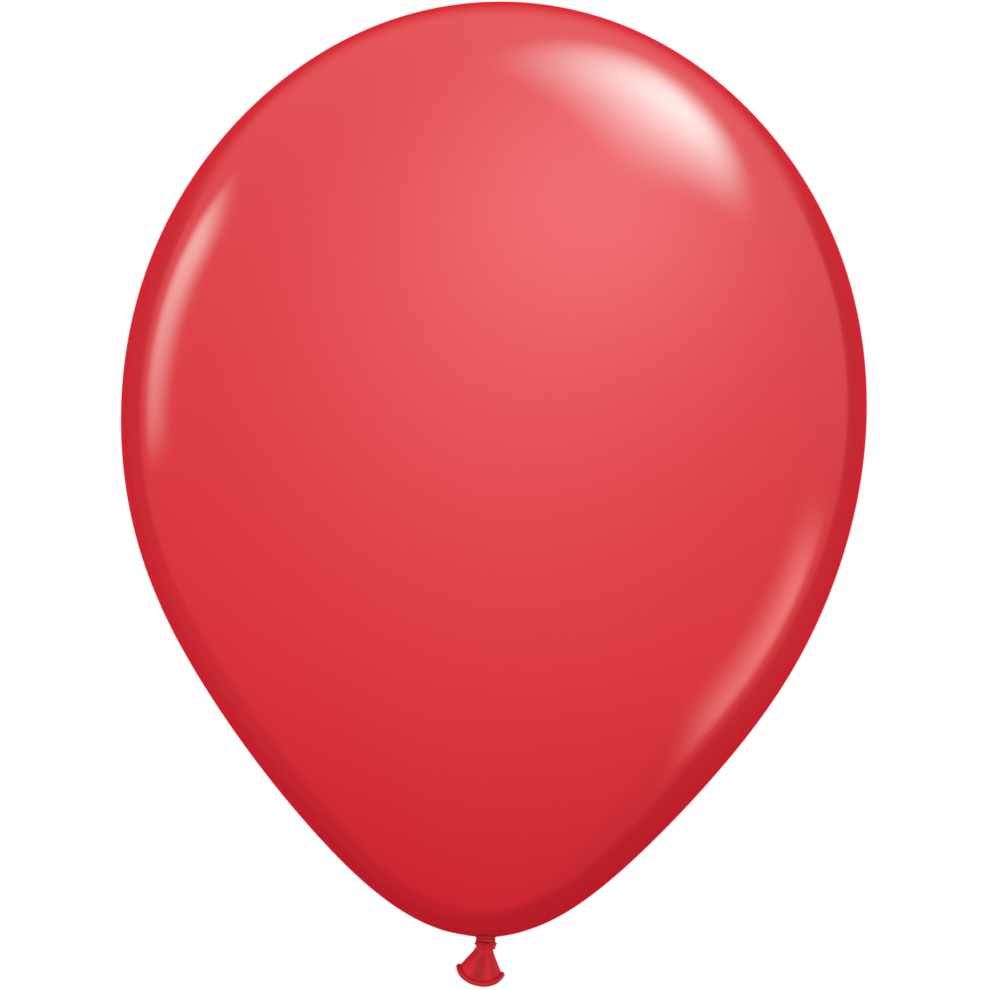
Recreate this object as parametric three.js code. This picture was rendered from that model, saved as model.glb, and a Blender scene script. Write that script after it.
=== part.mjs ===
// A tied, inflated 11 inch latex balloon. Millimetres, +Z up. The origin is the waist of the neck, just
// above the knot, where a ribbon is tied. The balloon is one dipped film of latex. Its stretches are
// separate meshes here, because they move: the neck twists under the envelope, the knot tilts on the
// neck, and the tail flaps under the knot.

import * as THREE from "three";
import { ParametricGeometry } from "three/addons/geometries/ParametricGeometry.js";

const tau = 2 * Math.PI;

// Film, and the clearance between two stretches of it that are modelled apart.
const film = 0.25; // relaxed latex
const gap = 0.3;

// Envelope: the blown-up part of the film.
const envelopeDiameter = 280; // 11 inches, at the widest
const envelopeHeight = 351.7; // from its blunt bottom to the crown
const envelopeBase = 0.3; // its bottom, above the waist of the neck
const pear = 0.0999; // second harmonic: narrower towards the neck
const shoulder = -0.041; // third harmonic: fuller shoulders than an ellipse has
const chin = 0.005; // fourth harmonic: a blunter bottom
const cheek = 0.0012; // fifth harmonic: straighter sides below the belly
const pout = -0.0034; // sixth harmonic: a slight draw towards the neck

// Neck: the gathered tube between the envelope and the knot.
const neckWaistRadius = 3.25;
const neckMouthRadius = 3.9; // its upper end, which flares inside the envelope
const neckRise = 2.2; // how far that end stands above the waist
const neckShelf = 0.2; // how far the gathers go below the waist before they turn in
const neckPleats = 8;
const neckPleatDepth = 0.12; // share of the radius

// The neck ends in a round nub of squeezed film, and the knot tilts about the nub's centre.
const nubRadius = 1.0;
const nubCentre = -0.85;

// Knot: a loop of twisted film drawn tight round the strand that passes through it.
const strandRadius = 1.2;
const loopTop = -0.8; // the highest line of the loop
const loopHeight = 3.5;
const loopThickness = 2.7; // in the radial direction
const loopLumps = 5; // bulges of bunched film
const loopLumpDepth = 0.05; // share of the section

// Tail: the free end of the neck below the knot, a flattened funnel that ends in the rolled lip.
const tailLean = THREE.MathUtils.degToRad(10); // it hangs to the left, and the knot is taller on the right
const tailShift = -0.6; // of the root's middle, to the left of the strand
const tailRootRadius = 0.9; // the pressed edge that the tail flaps on
const tailRootHalfWidth = 3.7;
const tailSlant = 12.0; // from the root's line to the middle of the lip
const tailCornerDrop = 0.09; // share of that slant that is missing at the lip's corners
const tailHalfAngle = THREE.MathUtils.degToRad(48); // of the fan
const tailMouthDepth = 6.2; // front to back at the lip, between the middles of the film
const tailPleats = 3; // on each face
const tailPleatDepth = 0.1; // share of the depth
const lipRadius = 1.0; // film rolled up on itself

// Places that follow from the sizes above.
const openingRadius = neckWaistRadius + gap; // of the envelope, round the neck
const strandTop = nubCentre - nubRadius - gap;
const loopMiddle = loopTop - loopHeight / 2;
const loopBottom = loopTop - loopHeight;
const loopRingRadius = strandRadius + gap + loopThickness / 2;
const tailLineAtStrand = loopMiddle - (loopHeight / 2 + gap + tailRootRadius) / Math.cos(tailLean);
const tailLine = tailLineAtStrand - tailShift * Math.tan(tailLean);

function latex(roughness) {
  return new THREE.MeshStandardMaterial({ color: 0xc81c2a, roughness, metalness: 0 });
}

function named(name, geometry, material) {
  const mesh = new THREE.Mesh(geometry, material);
  mesh.name = name;
  return mesh;
}

// The envelope's radius, before it is scaled to size, for a polar angle: 0 at the crown, pi at the bottom.
function pearRadius(angle) {
  return (
    Math.sin(angle) +
    pear * Math.sin(2 * angle) +
    shoulder * Math.sin(3 * angle) +
    chin * Math.sin(4 * angle) +
    cheek * Math.sin(5 * angle) +
    pout * Math.sin(6 * angle)
  );
}

function widestPearRadius() {
  let widest = 0;
  for (let step = 0; step <= 2000; step++) {
    widest = Math.max(widest, pearRadius((Math.PI * step) / 2000));
  }
  return widest;
}

const pearScale = envelopeDiameter / 2 / widestPearRadius();

function envelopeProfilePoint(angle) {
  return new THREE.Vector2(
    pearScale * pearRadius(angle),
    envelopeBase + (envelopeHeight / 2) * (1 + Math.cos(angle)),
  );
}

// The same point moved into the film by a depth, square to its surface.
function envelopeInsidePoint(angle, depth) {
  const ahead = envelopeProfilePoint(angle + 1e-4);
  const behind = envelopeProfilePoint(angle - 1e-4);
  const along = ahead.sub(behind).normalize();
  const inwards = new THREE.Vector2(along.y, -along.x);
  return envelopeProfilePoint(angle).addScaledVector(inwards, depth);
}

// The polar angle, near the bottom, at which the envelope has narrowed to a radius.
function envelopeAngleAtRadius(radius) {
  let low = Math.PI / 2;
  let high = Math.PI;
  for (let step = 0; step < 50; step++) {
    const middle = (low + high) / 2;
    if (pearScale * pearRadius(middle) > radius) {
      low = middle;
    } else {
      high = middle;
    }
  }
  return low;
}

// A thin shell, open at the bottom where the neck leaves it.
function envelope() {
  const rings = 21;
  const segments = 48;
  const lastAngle = envelopeAngleAtRadius(openingRadius);
  const outside = [new THREE.Vector2(0, envelopeProfilePoint(0).y)];
  const inside = [new THREE.Vector2(0, envelopeProfilePoint(0).y - film)];
  for (let ring = 1; ring <= rings; ring++) {
    const angle = (lastAngle * ring) / rings;
    outside.push(envelopeProfilePoint(angle));
    inside.push(envelopeInsidePoint(angle, film));
  }
  const geometry = new THREE.LatheGeometry([...inside, ...outside.reverse()], segments);
  return named("envelope", geometry.rotateX(Math.PI / 2), latex(0.3));
}

// A gathered cup: it flares inside the envelope, is narrowest at the waist, turns in over the knot, and
// ends in the nub. Its hollow stops at the shelf, where the film is squeezed solid.
function neck() {
  const flare = new THREE.SplineCurve([
    new THREE.Vector2(neckMouthRadius, neckRise),
    new THREE.Vector2(neckWaistRadius, neckRise * 0.4),
    new THREE.Vector2(neckWaistRadius, 0),
  ]).getPoints(4);
  const shelf = [
    new THREE.Vector2(neckWaistRadius * 0.9, -neckShelf * 0.7),
    new THREE.Vector2((neckWaistRadius + nubRadius) / 2, -neckShelf),
    new THREE.Vector2(nubRadius * 1.1, -neckShelf * 1.5),
  ];
  const nub = [];
  for (let step = 0; step < 4; step++) {
    const angle = (Math.PI / 8) * step;
    const below = nubRadius * Math.sin(angle);
    nub.push(new THREE.Vector2(nubRadius * Math.cos(angle), nubCentre - below));
  }
  nub.push(new THREE.Vector2(0, nubCentre - nubRadius));
  const hollow = flare.map((point) => new THREE.Vector2(point.x - film, point.y));
  hollow[hollow.length - 1].y = -neckShelf + film * 2;
  hollow.push(new THREE.Vector2(0, -neckShelf + film * 2));
  const profile = [...[...flare, ...shelf, ...nub].reverse(), ...hollow];
  const surface = (u, v, target) => {
    const place = profile[Math.round(v * (profile.length - 1))];
    const turn = tau * u;
    const gathered = 1 - (neckPleatDepth / 2) * (1 + Math.cos(neckPleats * turn));
    const radius = place.x * gathered;
    target.set(radius * Math.cos(turn), radius * Math.sin(turn), place.y);
  };
  const geometry = new ParametricGeometry(surface, neckPleats * 4, profile.length - 1);
  return named("neck", geometry, latex(0.42));
}

// A lumpy ring round the strand. Its top is level, and its bottom follows the slant of the tail's root.
function knotLoop() {
  const surface = (u, v, target) => {
    const turn = tau * u;
    const round = tau * v;
    const swell = 1 - loopLumpDepth * (1 + Math.cos(loopLumps * turn + round));
    const radius = loopRingRadius + (loopThickness / 2) * swell * Math.cos(round);
    const x = radius * Math.cos(turn);
    const height = (loopHeight / 2) * swell * Math.sin(round);
    const slant = Math.max(0, -Math.sin(round)) * Math.tan(tailLean) * x;
    target.set(x, radius * Math.sin(turn), loopMiddle + height - slant);
  };
  return named("knot_loop", new ParametricGeometry(surface, 30, 12), latex(0.45));
}

// The pinched film that passes down through the loop.
function knotStrand() {
  const corner = strandRadius / 4;
  const bottom = loopBottom + corner; // the loop's slanted underside stays the lowest
  const profile = [
    new THREE.Vector2(0, bottom),
    new THREE.Vector2(strandRadius - corner, bottom),
    new THREE.Vector2(strandRadius, bottom + corner),
    new THREE.Vector2(strandRadius, strandTop - corner),
    new THREE.Vector2(strandRadius - corner, strandTop),
    new THREE.Vector2(0, strandTop),
  ];
  const geometry = new THREE.LatheGeometry(profile, 16);
  return named("knot_strand", geometry.rotateX(Math.PI / 2), latex(0.45));
}

// A point on the middle of the tail's film. The root's line is the X axis and the fan hangs down -Z.
// along runs from 0 at the root to 1 at the lip, and turn goes round the flattened funnel.
function tailPoint(along, turn) {
  const side = Math.cos(turn);
  const slant = tailSlant * along * (1 - tailCornerDrop * side ** 4);
  const rootDepth = tailRootRadius - film / 2;
  const opened = THREE.MathUtils.lerp(rootDepth, tailMouthDepth / 2, Math.sin((Math.PI / 2) * along));
  const pleated = 1 + tailPleatDepth * Math.cos(2 * tailPleats * turn) * Math.sin(Math.PI * along);
  return new THREE.Vector3(
    slant * Math.sin(tailHalfAngle * side) + (tailRootHalfWidth - film / 2) * (1 - along) * side,
    opened * pleated * Math.sin(turn),
    -slant * Math.cos(tailHalfAngle * side),
  );
}

// The film of the tail: pressed solid at its root, then a funnel that is open at the lip. Each row is a
// closed line round the funnel: the root's rounded edge, down the outside, then up the inside.
function tailSkirt() {
  const steps = 8;
  const solidSteps = 2;
  const edge = tailPoint(1, 0).distanceTo(tailPoint(0, 0)); // the fan's side is shorter than its middle
  const lastAlong = 1 - (lipRadius + gap) / edge; // the film stops just short of the rolled lip
  const rows = [
    { along: 0, face: 1, shrink: 0, lift: tailRootRadius },
    { along: 0, face: 1, shrink: 0.7, lift: tailRootRadius * 0.65 },
  ];
  for (let step = 0; step <= steps; step++) {
    rows.push({ along: (lastAlong * step) / steps, face: 1, shrink: 1, lift: 0 });
  }
  for (let step = steps; step >= solidSteps; step--) {
    rows.push({ along: (lastAlong * step) / steps, face: -1, shrink: 1, lift: 0 });
  }
  const hollowEnd = (-tailSlant * lastAlong * solidSteps) / steps;
  rows.push({ along: 0, face: -1, shrink: 0, lift: hollowEnd });
  const surface = (u, v, target) => {
    const row = rows[Math.round(v * (rows.length - 1))];
    const turn = -tau * u;
    const outwards = new THREE.Vector3(Math.cos(turn) / 3, Math.sin(turn), 0).normalize();
    target.copy(tailPoint(row.along, turn)).addScaledVector(outwards, (row.face * film) / 2);
    target.multiplyScalar(row.shrink);
    target.z += row.lift;
  };
  const geometry = new ParametricGeometry(surface, 32, rows.length - 1);
  return named("tail_skirt", geometry, latex(0.42));
}

// The bead of rolled film that runs round the mouth of the tail.
function rolledLip() {
  const surface = (u, v, target) => {
    const turn = tau * u;
    const round = -tau * v;
    const middle = tailPoint(1, turn);
    const ahead = tailPoint(1, turn + 1e-3).sub(tailPoint(1, turn - 1e-3)).normalize();
    const down = middle.clone().sub(tailPoint(1 - 1e-3, turn)).normalize();
    const out = new THREE.Vector3().crossVectors(ahead, down).normalize();
    down.crossVectors(out, ahead).normalize();
    target
      .copy(middle)
      .addScaledVector(down, lipRadius * Math.cos(round))
      .addScaledVector(out, lipRadius * Math.sin(round));
  };
  return named("rolled_lip", new ParametricGeometry(surface, 36, 10), latex(0.4));
}

function tail() {
  const group = new THREE.Group();
  group.position.set(tailShift, 0, tailLine);
  group.rotation.y = tailLean;
  group.add(tailSkirt(), rolledLip());
  return group;
}

const balloon = new THREE.Group();
balloon.add(envelope(), neck(), knotLoop(), knotStrand(), tail());

export default balloon;
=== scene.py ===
"""A tied, inflated latex party balloon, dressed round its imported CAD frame. Lengths are in metres."""

import logging
import math
from dataclasses import dataclass, field
from enum import Enum
from typing import Callable

import bpy
import numpy as np
from mathutils import Matrix, Vector


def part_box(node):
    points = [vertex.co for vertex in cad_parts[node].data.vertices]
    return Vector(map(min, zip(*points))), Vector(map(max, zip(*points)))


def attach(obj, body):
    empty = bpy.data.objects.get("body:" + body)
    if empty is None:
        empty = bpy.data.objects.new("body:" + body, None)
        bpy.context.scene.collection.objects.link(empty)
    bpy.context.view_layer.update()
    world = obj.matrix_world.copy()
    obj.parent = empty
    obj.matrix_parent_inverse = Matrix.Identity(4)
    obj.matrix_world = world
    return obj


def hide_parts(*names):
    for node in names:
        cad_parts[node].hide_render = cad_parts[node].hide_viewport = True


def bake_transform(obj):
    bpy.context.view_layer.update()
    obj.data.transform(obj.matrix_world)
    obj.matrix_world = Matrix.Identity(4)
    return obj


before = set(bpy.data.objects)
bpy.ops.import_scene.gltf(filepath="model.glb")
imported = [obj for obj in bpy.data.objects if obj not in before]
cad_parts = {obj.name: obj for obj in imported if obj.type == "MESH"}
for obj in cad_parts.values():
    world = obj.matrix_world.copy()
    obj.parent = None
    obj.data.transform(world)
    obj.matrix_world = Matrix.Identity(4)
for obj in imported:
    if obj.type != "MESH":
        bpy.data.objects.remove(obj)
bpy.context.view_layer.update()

MM = 0.001
TAU = 2.0 * math.pi
PLEATS = 17
FOLD = "fold"
ANGLE_SAMPLES = 20001
COLOUR_SOCKET = "NodeSocketColor"
VALUE_SOCKET = "NodeSocketFloat"
LATEX_IOR = 1.5
SPECK_EDGE = (0.62, 0.75)

log = logging.getLogger("balloon")

Colour = tuple[float, float, float]
Point = tuple[float, float, float]
Pleat = tuple[float, float, float]
Edge = tuple[float, float]


class Body(Enum):
    """The rigid bodies of the balloon that a piece can ride on."""

    ENVELOPE = "envelope"
    NECK = "neck"
    KNOT = "knot"
    TAIL = "tail"


class Slot(Enum):
    """The record's material slots."""

    ENVELOPE = "envelope_film"
    GATHERS = "gathered_film"
    KNOT = "knot_film"
    TAIL = "tail_film"
    LIP = "lip_film"


class Ends(Enum):
    """How the first and the last row of a grid are finished."""

    POLES = "poles"
    JOINED = "joined"


# Numbers and grids


def smooth_step(low: float, high: float, value: np.ndarray | float) -> np.ndarray:
    """A ramp from 0 at low to 1 at high that starts and ends level: 3s^2 - 2s^3 of the clipped share s.

    Args:
        low: Value at which the ramp leaves 0.
        high: Value at which it reaches 1. It may be less than low.
        value: Where to read the ramp.

    Returns:
        The ramp, shaped like value.
    """
    share = np.clip((np.asarray(value, float) - low) / (high - low), 0.0, 1.0)
    return share * share * (3.0 - 2.0 * share)


def bell(value: np.ndarray, centre: float, width: float) -> np.ndarray:
    """A bump of height 1: the exponential of minus the squared distance from centre, in widths.

    Args:
        value: Where to read the bump.
        centre: Where it is 1.
        width: The distance at which it has fallen to 1 / e.

    Returns:
        The bump, shaped like value.
    """
    return np.exp(-(((value - centre) / width) ** 2))


def smooth_curve(knots: list[tuple[float, float]], count: int) -> np.ndarray:
    """A smooth line through a few points of a profile, by Catmull-Rom pieces between each pair.

    Args:
        knots: The points, as (radius, height).
        count: How many points to return for each piece.

    Returns:
        An array of (radius, height) rows that starts and ends on the first and last point.
    """
    points = np.array(knots, float)
    padded = np.vstack([2 * points[0] - points[1], points, 2 * points[-1] - points[-2]])
    share = np.linspace(0.0, 1.0, count, endpoint=False)[:, None]
    pieces = [
        0.5
        * (
            2 * padded[i + 1]
            + (padded[i + 2] - padded[i]) * share
            + (2 * padded[i] - 5 * padded[i + 1] + 4 * padded[i + 2] - padded[i + 3]) * share**2
            + (3 * padded[i + 1] - padded[i] - 3 * padded[i + 2] + padded[i + 3]) * share**3
        )
        for i in range(len(points) - 1)
    ]
    return np.vstack([*pieces, points[-1:]])


def turns(columns: int) -> np.ndarray:
    """Angles once round.

    Args:
        columns: How many.

    Returns:
        A row vector from 0 that doesn't repeat the first angle.
    """
    return (np.arange(columns) * (TAU / columns))[None, :]


def unit(vectors: np.ndarray) -> np.ndarray:
    """Vectors of length 1.

    Args:
        vectors: Vectors along the last axis.

    Returns:
        The vectors divided by their lengths.
    """
    return vectors / np.maximum(np.linalg.norm(vectors, axis=-1, keepdims=True), 1e-12)


def leaned(points: np.ndarray, angle: float, shift: float, height: float) -> np.ndarray:
    """Points turned about the Y direction and moved: the tail's own frame to the balloon's.

    Args:
        points: Points in the tail's frame.
        angle: The lean, in radians. A positive one swings the bottom towards -X.
        shift: X of the tail's origin.
        height: Height of the tail's origin.

    Returns:
        The turned points.
    """
    x, y, z = points[..., 0], points[..., 1], points[..., 2]
    cosine, sine = math.cos(angle), math.sin(angle)
    return np.stack([x * cosine + z * sine + shift, y, z * cosine - x * sine + height], axis=-1)


@dataclass
class Grid:
    """A surface on a grid of rows and columns, closed round its columns.

    Attributes:
        points: Array of rows x columns x 3.
        ends: What closes the first and the last row. With poles, each of those rows is one point.
        fold: How bunched the film is at each point, from 0 to 1, or None where it isn't. In the creases
            and valleys of the knot, the collar and the tail it is painted shade.
    """

    points: np.ndarray
    ends: Ends = Ends.POLES
    fold: np.ndarray | None = None

    def listed(self, values: np.ndarray) -> np.ndarray:
        """Values of the grid in the order of the mesh's vertices.

        Args:
            values: Rows x columns x n.

        Returns:
            One row for each vertex, with each pole once, first and last.
        """
        if self.ends is Ends.POLES:
            inner = values[1:-1].reshape(-1, values.shape[-1])
            return np.vstack([values[0].mean(0), inner, values[-1].mean(0)])
        return values.reshape(-1, values.shape[-1])

    def faces(self) -> tuple[np.ndarray, np.ndarray]:
        """The vertex numbers of the faces.

        Returns:
            The quads between rows, and the triangles round the poles, of which joined ends have none.
        """
        rows, columns = self.points.shape[:2]
        joined = self.ends is Ends.JOINED
        here = np.arange(columns)
        after = (here + 1) % columns
        first = 0 if joined else 1
        row = np.arange(rows if joined else rows - 3)[:, None]
        below = (row + 1) % rows
        quads = np.stack(
            [
                first + row * columns + here,
                first + row * columns + after,
                first + below * columns + after,
                first + below * columns + here,
            ],
            axis=-1,
        ).reshape(-1, 4)
        if joined:
            return quads, np.zeros((0, 3), int)
        last = 1 + (rows - 2) * columns
        low = 1 + (rows - 3) * columns
        start = np.stack([np.zeros_like(here), 1 + after, 1 + here], axis=-1)
        finish = np.stack([np.full_like(here, last), low + here, low + after], axis=-1)
        return quads, np.vstack([start, finish])

    def build(self, name: str) -> bpy.types.Object:
        """Makes the mesh object, smooth, with its faces turned outwards.

        Args:
            name: Name of the piece.

        Returns:
            The new object, at the origin.
        """
        vertices = self.listed(self.points)
        quads, triangles = self.faces()
        if signed_volume(vertices, quads, triangles) < 0:
            quads, triangles = quads[:, ::-1], triangles[:, ::-1]
        corners = np.concatenate([quads.ravel(), triangles.ravel()]).astype(np.int32)
        sizes = np.concatenate([np.full(len(quads), 4), np.full(len(triangles), 3)])
        starts = np.concatenate([[0], np.cumsum(sizes)[:-1]]).astype(np.int32)
        mesh = bpy.data.meshes.new(name)
        mesh.vertices.add(len(vertices))
        mesh.vertices.foreach_set("co", vertices.astype(np.float32).ravel())
        mesh.loops.add(len(corners))
        mesh.loops.foreach_set("vertex_index", corners)
        mesh.polygons.add(len(sizes))
        mesh.polygons.foreach_set("loop_start", starts)
        mesh.update(calc_edges=True)
        mesh.validate()
        mesh.polygons.foreach_set("use_smooth", np.ones(len(sizes), bool))
        if self.fold is not None:
            fold = np.clip(self.listed(self.fold[..., None]), 0.0, 1.0).astype(np.float32)
            mesh.attributes.new(FOLD, "FLOAT", "POINT").data.foreach_set("value", fold.ravel())
        piece = bpy.data.objects.new(name, mesh)
        bpy.context.scene.collection.objects.link(piece)
        return piece


def signed_volume(vertices: np.ndarray, quads: np.ndarray, triangles: np.ndarray) -> float:
    """Six times the volume that the faces enclose.

    Args:
        vertices: The points.
        quads: Vertex numbers of the faces with four corners.
        triangles: And of those with three.

    Returns:
        The volume, positive where the faces point outwards.
    """
    split = np.vstack([quads[:, [0, 1, 2]], quads[:, [0, 2, 3]], triangles])
    a, b, c = (vertices[split[:, i]] for i in range(3))
    return float(np.einsum("ij,ij->", a, np.cross(b, c)))


def turned_profile(profile: np.ndarray, columns: int) -> np.ndarray:
    """A profile of (radius, height) rows carried round the Z axis.

    Args:
        profile: The rows.
        columns: Steps round the axis.

    Returns:
        Grid points: radius times the cosine and sine of the turn, and the height.
    """
    turn = turns(columns)
    radius, height = profile[:, :1], profile[:, 1:]
    x, y = radius * np.cos(turn), radius * np.sin(turn)
    return np.stack([x, y, np.broadcast_to(height, x.shape)], axis=-1)


def pleat_wave(columns: int) -> np.ndarray:
    """The pleats that the gathers and the collar share: a cosine of the turn and of two slow sines.

    Args:
        columns: Steps round the axis.

    Returns:
        A row vector, 1 in the valleys and -1 on the ridges.
    """
    turn = turns(columns)
    return np.cos(PLEATS * turn + 0.9 * np.sin(3 * turn + 0.7) + 0.6 * np.sin(5 * turn))


# Node groups and finishes


class NodeBuilder:
    """Adds nodes to a tree and links them, so that a shader reads as a list of steps."""

    def __init__(self, tree: bpy.types.NodeTree) -> None:
        """Keeps the tree to build in.

        Args:
            tree: The tree.
        """
        self.tree = tree

    def feed(self, socket: bpy.types.NodeSocket, value: object) -> None:
        """Sets an input, or links it.

        Args:
            socket: The input.
            value: Its value, or an output socket to link it from.
        """
        if isinstance(value, bpy.types.NodeSocket):
            self.tree.links.new(value, socket)
        else:
            socket.default_value = value

    def add(self, kind: str, inputs: dict | None = None, **settings: object) -> bpy.types.Node:
        """Adds a node.

        Args:
            kind: The node's Blender type name.
            inputs: Socket name or index to a value, or to an output socket to link from.
            **settings: Properties of the node.

        Returns:
            The node.
        """
        node = self.tree.nodes.new(kind)
        for key, value in settings.items():
            setattr(node, key, value)
        for key, value in (inputs or {}).items():
            self.feed(node.inputs[key], value)
        return node

    def math(self, operation: str, *values: object, clamp: bool = False) -> bpy.types.NodeSocket:
        """Adds a Math node.

        Args:
            operation: What it does.
            *values: Its inputs, in order.
            clamp: Whether the result is held between 0 and 1.

        Returns:
            The result.
        """
        inputs = dict(enumerate(values))
        return self.add("ShaderNodeMath", inputs, operation=operation, use_clamp=clamp).outputs[0]

    def ramp(self, value: bpy.types.NodeSocket, low: float, high: float) -> bpy.types.NodeSocket:
        """A ramp that starts and ends level.

        Args:
            value: Where to read it.
            low: Value at which it leaves 0.
            high: Value at which it reaches 1. It may be less than low.

        Returns:
            The ramp.
        """
        falls = low > high
        node = self.add(
            "ShaderNodeMapRange",
            {
                "Value": value,
                "From Min": min(low, high),
                "From Max": max(low, high),
                "To Min": 1.0 if falls else 0.0,
                "To Max": 0.0 if falls else 1.0,
            },
            interpolation_type="SMOOTHSTEP",
        )
        return node.outputs["Result"]

    def mix(self, share: object, first: object, second: object) -> bpy.types.NodeSocket:
        """Mixes two colours.

        Args:
            share: The second one's share.
            first: The colour at share 0.
            second: The colour at share 1.

        Returns:
            The colour.
        """
        return self.add("ShaderNodeMix", {0: share, 6: first, 7: second}, data_type="RGBA").outputs[2]

    def sum(self, first: object, second: object) -> bpy.types.NodeSocket:
        """Adds two colours.

        Args:
            first: One colour.
            second: The other.

        Returns:
            Their sum.
        """
        return self.add("ShaderNodeVectorMath", {0: first, 1: second}, operation="ADD").outputs[0]

    def scaled(self, colour: object, amount: object) -> bpy.types.NodeSocket:
        """Brightens or dims a colour.

        Args:
            colour: The colour.
            amount: What it is multiplied by.

        Returns:
            The colour times the amount.
        """
        inputs = {0: colour, "Scale": amount}
        return self.add("ShaderNodeVectorMath", inputs, operation="SCALE").outputs[0]

    def dot(self, direction: bpy.types.NodeSocket, axis: Vector) -> bpy.types.NodeSocket:
        """The part of a direction that is along an axis.

        Args:
            direction: The direction.
            axis: The axis, of length 1.

        Returns:
            Their dot product.
        """
        inputs = {0: direction, 1: axis}
        return self.add("ShaderNodeVectorMath", inputs, operation="DOT_PRODUCT").outputs["Value"]

    def noise(self, scale: object, detail: float = 2.0, roughness: float = 0.5) -> bpy.types.NodeSocket:
        """A cloudy noise in the piece's own coordinates.

        Args:
            scale: Clouds to a metre.
            detail: Octaves.
            roughness: Strength of each octave, as a share of the last.

        Returns:
            The noise, about 0.5.
        """
        place = self.add("ShaderNodeTexCoord").outputs["Object"]
        inputs = {"Vector": place, "Scale": scale, "Detail": detail, "Roughness": roughness}
        return self.add("ShaderNodeTexNoise", inputs).outputs[0]

    def axis_distance(self) -> tuple[bpy.types.NodeSocket, bpy.types.NodeSocket]:
        """Where the shaded point is, in the piece's own coordinates.

        Returns:
            Its distance from the Z axis, and its height.
        """
        place = self.add("ShaderNodeTexCoord").outputs["Object"]
        split = self.add("ShaderNodeSeparateXYZ", {0: place}).outputs
        aside = self.math("MULTIPLY", split["X"], split["X"])
        away = self.math("SQRT", self.math("MULTIPLY_ADD", split["Y"], split["Y"], aside))
        return away, split["Z"]


def new_group(name: str, inputs: dict[str, str], outputs: dict[str, str]) -> bpy.types.NodeTree:
    """A shader group with named sockets and nothing between them.

    Args:
        name: The group's name.
        inputs: Name to socket type.
        outputs: Name to socket type.

    Returns:
        The group's tree, with its input and output nodes in place.
    """
    tree = bpy.data.node_groups.new(name, "ShaderNodeTree")
    for direction, sockets in (("INPUT", inputs), ("OUTPUT", outputs)):
        for label, kind in sockets.items():
            tree.interface.new_socket(name=label, in_out=direction, socket_type=kind)
    tree.nodes.new("NodeGroupInput")
    tree.nodes.new("NodeGroupOutput")
    return tree


def film_tone_group() -> bpy.types.NodeTree:
    """Colour of dyed latex: a thin and a thick colour mixed by a mask of film thickness and painted
    shade, with a cloudy mottle.

    Returns:
        A group from thin colour, thick colour, thickness and painted shade, mottle size and mottle
        amount to a colour.
    """
    inputs = {"Thin": COLOUR_SOCKET, "Thick": COLOUR_SOCKET}
    inputs |= dict.fromkeys(("Thickness", "Mottle Scale", "Mottle Amount"), VALUE_SOCKET)
    tree = new_group("film_tone", inputs, {"Color": COLOUR_SOCKET})
    make = NodeBuilder(tree)
    given = tree.nodes["Group Input"].outputs
    cloud = make.math("SUBTRACT", make.noise(given["Mottle Scale"], 3.0, 0.55), 0.5)
    mottle = make.math("MULTIPLY", cloud, given["Mottle Amount"])
    # For some pieces the thickness input is painted shade as well as film thickness.
    share = make.math("ADD", given["Thickness"], mottle, clamp=True)
    make.feed(
        tree.nodes["Group Output"].inputs["Color"], make.mix(share, given["Thin"], given["Thick"])
    )
    return tree


def film_skin_group() -> bpy.types.NodeTree:
    """Relief of a dipped film: fine orange peel with a coarser flow ripple laid over it.

    Returns:
        A group from peel size, ripple size and ripple share to a height, and a mask of the dull specks.
    """
    tree = new_group(
        "film_skin",
        dict.fromkeys(("Peel Scale", "Ripple Scale", "Ripple Share"), VALUE_SOCKET),
        dict.fromkeys(("Height", "Specks"), VALUE_SOCKET),
    )
    make = NodeBuilder(tree)
    given = tree.nodes["Group Input"].outputs
    put_out = tree.nodes["Group Output"].inputs
    peel = make.noise(given["Peel Scale"])
    ripple = make.noise(given["Ripple Scale"], 2.0, 0.4)
    inputs = {0: given["Ripple Share"], 2: peel, 3: ripple}
    make.feed(put_out["Height"], make.add("ShaderNodeMix", inputs, data_type="FLOAT").outputs[0])
    make.feed(put_out["Specks"], make.ramp(peel, *SPECK_EDGE))
    return tree


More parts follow.
